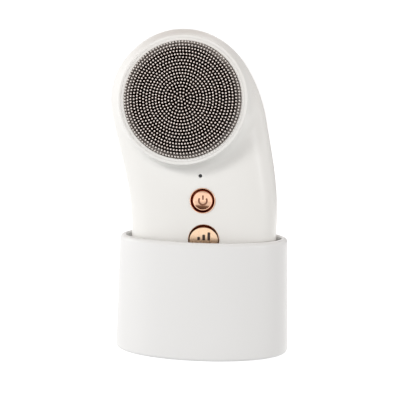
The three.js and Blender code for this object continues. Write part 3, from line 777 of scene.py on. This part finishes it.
def bristles():
    """Concentric rings of bristles that thicken a little towards rounded cream tips."""
    rng = np.random.default_rng(7)
    sides, rings = 10, len(BRISTLE_SHAPE)
    ring = turn_angles(sides)
    verts, faces, along = [], [], []
    base = BRUSH["pad_face"] - 0.15
    spots = bristle_spots(rng)
    for (x, y), top in zip(spots, bristle_tops(spots, rng)):
        first = len(verts)
        for radius, t in BRISTLE_SHAPE:
            for a in ring:
                verts.append((x + radius * math.cos(a), y + radius * math.sin(a), base + (top - base) * t))
                along.append(t)
        verts.append((x, y, top))
        along.append(1.0)
        for j in range(rings - 1):
            for k in range(sides):
                m = (k + 1) % sides
                p, q = first + j * sides, first + (j + 1) * sides
                faces.append((p + k, p + m, q + m, q + k))
        last = first + (rings - 1) * sides
        faces.extend((last + k, last + (k + 1) % sides, len(verts) - 1) for k in range(sides))
        faces.append(tuple(first + k for k in reversed(range(sides))))
    obj = make_object("brush_bristles", place(HEAD_FRAME, np.array(verts)), faces, BRISTLE, 60)
    tag(obj, "along", along)
    tag_edge(obj)
    return obj


# ---- keys --------------------------------------------------------------------------------------
def cap_radius(key):
    """Radius of a key's cap, just inside its bezel."""
    return key["bezel"] - key["ring"] - CAP["gap"]


def dish_height(key, radius):
    """Height of a key's front face above the seam plane at a radius from its middle."""
    edge = cap_radius(key) - key["round"]
    t = np.clip(1 - (np.asarray(radius, float) / edge) ** DISH_POWER, 0, 1)
    return key["face"] - key["dish"] * t


def tag_painted_shade(obj, key, low, high):
    """Marks where a key's metal is painted dark: painted shade and reflection in the gap between a bezel's
    lip and its cap, and on a cap's cut-back shoulder.
    """
    off = points_of(obj.data) * 1000 - np.array([key["x"], 0, key["z"]])
    radius = np.hypot(off[:, 0], off[:, 2])
    sunk = (-off[:, 1] < key["face"] - 0.1) | (key["dish"] > 0)
    tag(obj, "painted_shade", ((radius > low) & (radius < high) & sunk).astype(float))


def bezel(name, key):
    """Ring with a funnelled mouth, held behind the shell by a flange."""
    front = float(thickness(key["x"], key["z"])) + key["proud"]
    back, flange, spread = (BEZEL[part] for part in ("back", "flange", "spread"))
    r, inner, funnel = key["bezel"], key["bezel"] - key["ring"], key["funnel"]
    profile = rounded([(inner, back, 0), (r + spread, back, 0.1), (r + spread, flange, 0.1),
                       (r, flange, 0.05), (r, front, 0.16), (inner + funnel, front, 0.08),
                       (inner, front - 2.2 * funnel - 0.1, 0.1), (inner, back, 0)], 6)
    ring = turned(name, profile[:-1], face_frame(key), 128, ROSE, 40, close=True)
    # Painted shade: the funnelled mouth is painted dark, in place of the shade and reflection in the gap.
    tag_painted_shade(ring, key, 0, inner + funnel - 0.02)
    return ring


def key_cap(name, key, look):
    """A round cap. With scallop above round, its shoulder is cut back further at the top."""
    r, at, c = cap_radius(key), face_frame(key), CAP
    angle = turn_angles(128)

    def ring(radius, height):
        local = [radius * np.cos(angle), radius * np.sin(angle), np.broadcast_to(height, angle.shape)]
        return place(at, np.stack(local, 1))

    fall = key["round"] + (key["scallop"] - key["round"]) * np.clip(np.sin(angle), 0, 1) ** 1.5
    drop = key["round"] * key["steep"]
    rows = [place(at, [[0, 0, c["back"]]])]
    rows += [ring(radius, height) for radius, height in (
        (c["stem"], c["back"]), (c["stem"], c["flange_back"]), (r + c["spread"], c["flange_back"]),
        (r + c["spread"], c["flange"]), (r, c["flange"]))]
    for t in np.linspace(0, 1, 9):
        quarter = t * np.pi / 2
        inward, up = (1 - math.cos(quarter), math.sin(quarter)) if key["dish"] else (t, t)
        rows.append(ring(r - fall * inward, key["face"] - drop * (1 - up)))
    for t in np.linspace(1, 0, 18)[1:-1]:
        rows.append(ring((r - fall) * t, dish_height(key, (r - fall) * t)))
    rows.append(place(at, [[0, 0, float(dish_height(key, 0))]]))
    cap = skin(name, rows, look, 30)
    # Painted shade: the cut-back shoulder is painted dark, in place of its shade and dark reflection.
    tag_painted_shade(cap, key, r - key["scallop"] * 0.75, 99)
    return cap


def strip(name, key, left, right, proud, look):
    """A strip between two lines of (x, y) points, standing proud of a key's face."""
    verts, faces = [], []
    for a, b in zip(left, right):
        for point, rise in ((a, proud), (b, proud), (b, -MARK_ROOT), (a, -MARK_ROOT)):
            verts.append((point[0], point[1], float(dish_height(key, np.linalg.norm(point))) + rise))
    count = len(left)
    for i in range(count - 1):
        for k in range(4):
            m = (k + 1) % 4
            faces.append((4 * i + k, 4 * i + m, 4 * i + 4 + m, 4 * i + 4 + k))
    faces.append((0, 1, 2, 3))
    faces.append((4 * count - 1, 4 * count - 2, 4 * count - 3, 4 * count - 4))
    return make_object(name, place(face_frame(key), np.array(verts)), faces, look)


def power_lines():
    """Open ring and stem of a power sign, as pairs of side lines."""
    angle = np.linspace(0.80 * np.pi, 2.20 * np.pi, 40)
    ring = [np.stack([r * np.cos(angle), r * np.sin(angle) - 0.15], 1) for r in (2.15, 1.4)]
    y = np.linspace(0.25, 2.15, 8)
    stem = [np.stack([np.full(8, x), y], 1) for x in (-0.36, 0.36)]
    return [ring, stem]


def level_lines():
    """Three rising bars."""
    bars = []
    for k in range(3):
        x, tall = (k - 1) * 2.3, 1.5 + 1.1 * k
        y = np.array([0.0, 0.12, 0.25, tall - 0.25, tall - 0.12, tall]) - 0.25
        half = np.array([0.35, 0.55, 0.62, 0.62, 0.55, 0.35])
        bars.append([np.stack([x - half, y], 1), np.stack([x + half, y], 1)])
    return bars


def mark(name, key, body, lines, proud, look):
    """The strips of a key's mark, each riding on the key."""
    for k, (left, right) in enumerate(lines, 1):
        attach(strip(f"{name}_{k}", key, left, right, proud, look), body)


def lens():
    """Window for the lamp, slightly crowned, held behind the shell by a flange."""
    front, r = float(thickness(LAMP["x"], LAMP["z"])), LAMP["r"]
    profile = rounded([(0, LAMP["back"], 0), (LAMP["flange_r"], LAMP["back"], 0.1),
                       (LAMP["flange_r"], LAMP["flange"], 0.1), (r, LAMP["flange"], 0.05),
                       (r, front - 0.05, 0.12)], 4)[:-1]
    profile += [(r, front - 0.12), (r * 0.85, front), (r * 0.5, front + 0.05), (0, front + 0.07)]
    return turned("indicator_window", profile, face_frame(LAMP), 48, LENS)


# ---- pieces and their bodies -------------------------------------------------------------------
def put(obj, body, slot, *stands_for):
    """Fastens a piece to a body, in place of the CAD nodes it stands for."""
    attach(obj, body)
    if stands_for:
        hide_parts(*stands_for)


put(stand_cup(), "stand", "stand_white", "stand_cup")
put(cradle(), "stand", "soft_grey", "stand_cradle")
put(base_plate(), "stand", "stand_white", "stand_base_plate")
put(grip_pad(), "stand", "dark_rubber", "stand_grip_pad")
inlet_shell, inlet_tongue = inlet()
put(inlet_shell, "stand", "steel", "charging_inlet")
put(inlet_tongue, "stand", "black_plastic")
put(front_shell(), "handset", "shell_white", "front_shell")
put(rear_shell(), "handset", "shell_white", "rear_shell")
put(gasket(), "handset", "shell_white", "seam_gasket")
put(bezel("power_ring", POWER), "handset", "rose_gold", "power_bezel")
put(bezel("level_ring", LEVEL), "handset", "rose_gold", "level_bezel")
put(lens(), "handset", "black_gloss", "indicator_lens")
# The power sign is painted dark: painted shade in place of the shading of a raised sign.
mark("power_mark", POWER, "power_key", power_lines(), 0.12, SIGN_PAINTED_SHADE)
put(key_cap("power_cap", POWER, ROSE), "power_key", "rose_gold", "power_button")
mark("level_mark", LEVEL, "level_key", level_lines(), 0.05, INK)
put(key_cap("level_cap", LEVEL, SATIN_ROSE), "level_key", "rose_gold", "level_button")
put(brush_cup(), "brush_head", "shell_white", "brush_cup")
put(bristle_bed(), "brush_head", "bristle_brown", "bristle_pad")
put(bristles(), "brush_head", "bristle_brown")

CAD_LOOKS = {
    STEEL: ["motor", "motor_screw_1", "motor_screw_2"]
           + [f"{owner}_screw_{k}" for owner in ("stand", "chassis") for k in range(1, 5)],
    COPPER: ["transmitter_coil", "receiver_coil"],
    FERRITE: ["transmitter_ferrite", "receiver_ferrite"],
    BOARD: ["dock_board", "control_board"],
    GREY: ["chassis", "battery_tray", "motor_mount"],
    SILICONE: ["power_seal", "level_seal"],
    BLACK: ["control_chip", "power_switch", "level_switch"],
    SHELL: ["indicator_led"],
    CELL: ["battery_cell"],
    RUBBER: ["spindle_seal"],
    BRASS: ["drive_spindle"],
}
for look, names in CAD_LOOKS.items():
    for name in names:
        mesh = nodes[name].data
        mesh.materials.clear()
        mesh.materials.append(look)


# ---- floor, light, camera ----------------------------------------------------------------------
def floor():
    """Floor out of sight of diffuse rays, with a glow of its own that keeps it white."""
    size, rings = 12000.0, 24
    rows = [np.array([[0, 0, 0]])]
    rows += [circle(size * (k / rings) ** 3, 0, 64, FLOOR_FRAME) for k in range(1, rings + 1)]
    obj = skin("floor", rows, None, 0)
    n = Nodes("floor_paper")
    tone = n.ramp(n.noise(3.0), [(0.3, (0.44, 0.44, 0.44)), (0.7, (0.46, 0.46, 0.46))])
    n.put(Base_Color=tone, Roughness=0.9, Emission_Color=(1, 1, 1, 1), Emission_Strength=0.85)
    obj.data.materials.append(n.material)
    obj.visible_diffuse = obj.visible_shadow = False


def card():
    """Grey card behind and to the right, seen only in reflections: it draws the object's right edge."""
    (left, left_back), (right, right_back), height = (50, 700), (600, 450), 500
    verts = [(left, left_back, 0), (right, right_back, 0), (right, right_back, height),
             (left, left_back, height)]
    obj = make_object("card", verts, [(0, 1, 2, 3)], None, 0)
    n = Nodes("card_felt")
    tone = n.ramp(n.noise(40.0), [(0.3, (0.02, 0.02, 0.02)), (0.7, (0.03, 0.03, 0.03))])
    n.put(Base_Color=tone, Roughness=0.9, Emission_Color=(1, 1, 1, 1), Emission_Strength=0.3)
    obj.data.materials.append(n.material)
    obj.visible_camera = obj.visible_diffuse = obj.visible_shadow = False


def softbox(name, at, size, power, shiny=True):
    """A rectangular light, in metres and watts, aimed at the object's middle."""
    data = bpy.data.lights.new(name, "AREA")
    data.shape = "RECTANGLE"
    data.size, data.size_y = size
    data.energy = power
    lamp = bpy.data.objects.new(name, data)
    lamp.visible_glossy = shiny
    scene.collection.objects.link(lamp)
    lamp.location = at
    lamp.rotation_euler = (Vector(LIGHT_TARGET) - Vector(at)).to_track_quat("-Z", "Y").to_euler()


def sky():
    """White surround, dimmer in front of the object and dark overhead, as a studio is."""
    world = bpy.data.worlds.new("studio")
    scene.world = world
    world.use_nodes = True
    tree = world.node_tree
    back = tree.nodes["Background"]
    coords = tree.nodes.new("ShaderNodeTexCoord")
    split = tree.nodes.new("ShaderNodeSeparateXYZ")
    tree.links.new(coords.outputs["Generated"], split.inputs[0])
    ramps = []
    for axis, stops in (("Z", SKY_UP), ("X", SKY_ACROSS), ("Y", SKY_ALONG)):
        span = tree.nodes.new("ShaderNodeMapRange")
        span.inputs["From Min"].default_value = -1
        ramp = tree.nodes.new("ShaderNodeValToRGB")
        while len(ramp.color_ramp.elements) < len(stops):
            ramp.color_ramp.elements.new(0.5)
        for element, (position, colour) in zip(ramp.color_ramp.elements, stops):
            element.position = (position + 1) / 2
            element.color = (*colour, 1)
        tree.links.new(split.outputs[axis], span.inputs["Value"])
        tree.links.new(span.outputs["Result"], ramp.inputs["Fac"])
        ramps.append(ramp.outputs["Color"])
    total = ramps[0]
    for ramp in ramps[1:]:
        product = tree.nodes.new("ShaderNodeVectorMath")
        product.operation = "MULTIPLY"
        tree.links.new(total, product.inputs[0])
        tree.links.new(ramp, product.inputs[1])
        total = product.outputs["Vector"]
    tree.links.new(total, back.inputs["Color"])


def camera():
    """Seen from 7 degrees to the right, near the height of the handset's top, looking slightly down."""
    turn, distance, side, height = math.radians(7), 0.600, -0.002, 0.14103
    tilt, roll, focal = 0.1187, 0.020, 1313.5 / 400 * 36
    across = Vector((math.cos(turn), math.sin(turn), 0))
    ahead = Vector((-math.sin(turn), math.cos(turn), 0))
    up = Vector((0, 0, 1))
    look = ahead * math.cos(tilt) - up * math.sin(tilt)
    head_up = ahead * math.sin(tilt) + up * math.cos(tilt)
    right = across * math.cos(roll) + head_up * math.sin(roll)
    top = head_up * math.cos(roll) - across * math.sin(roll)
    data = bpy.data.cameras.new("camera")
    data.sensor_width, data.lens = 36, focal
    data.clip_start, data.clip_end = 0.01, 20
    cam = bpy.data.objects.new("camera", data)
    scene.collection.objects.link(cam)
    rotation = Matrix((right, top, -look)).transposed().to_4x4()
    cam.matrix_world = Matrix.Translation(across * side - ahead * distance + up * height) @ rotation
    scene.camera = cam


LIGHT_TARGET = (0, 0, 0.08)
# Brightness of the surround from down to up, from left to right and from front to back.
SKY_UP = [(-1.0, [0.55] * 3), (-0.12, [0.71] * 3), (-0.03, [1.14] * 3), (0.37, [1.12] * 3),
          (0.52, (0.25, 0.17, 0.13)), (1.0, (0.07, 0.04, 0.03))]
SKY_ACROSS = [(-1.0, [1.0] * 3), (0.2, [1.0] * 3), (1.0, [1.14] * 3)]
SKY_ALONG = [(-1.0, [0.80] * 3), (-0.1, [0.95] * 3), (0.3, [1.0] * 3)]

scene.view_settings.view_transform = "Standard"
floor()
card()
sky()
softbox("key", (-0.78, -1.18, 0.80), (0.36, 0.36), 9.4, shiny=False)
softbox("edge", (-1.3, 0.20, 0.42), (0.7, 0.9), 2.8)
softbox("bounce", (-1.2, -0.45, -0.22), (0.5, 0.5), 1.2, shiny=False)
softbox("strip", (1.15, -0.50, 0.40), (0.3, 0.8), 2.2)
softbox("top", (0.15, -0.20, 1.3), (0.9, 0.7), 2.8, shiny=False)
softbox("back", (0.5, 1.3, 0.7), (0.9, 0.9), 7, shiny=False)
camera()
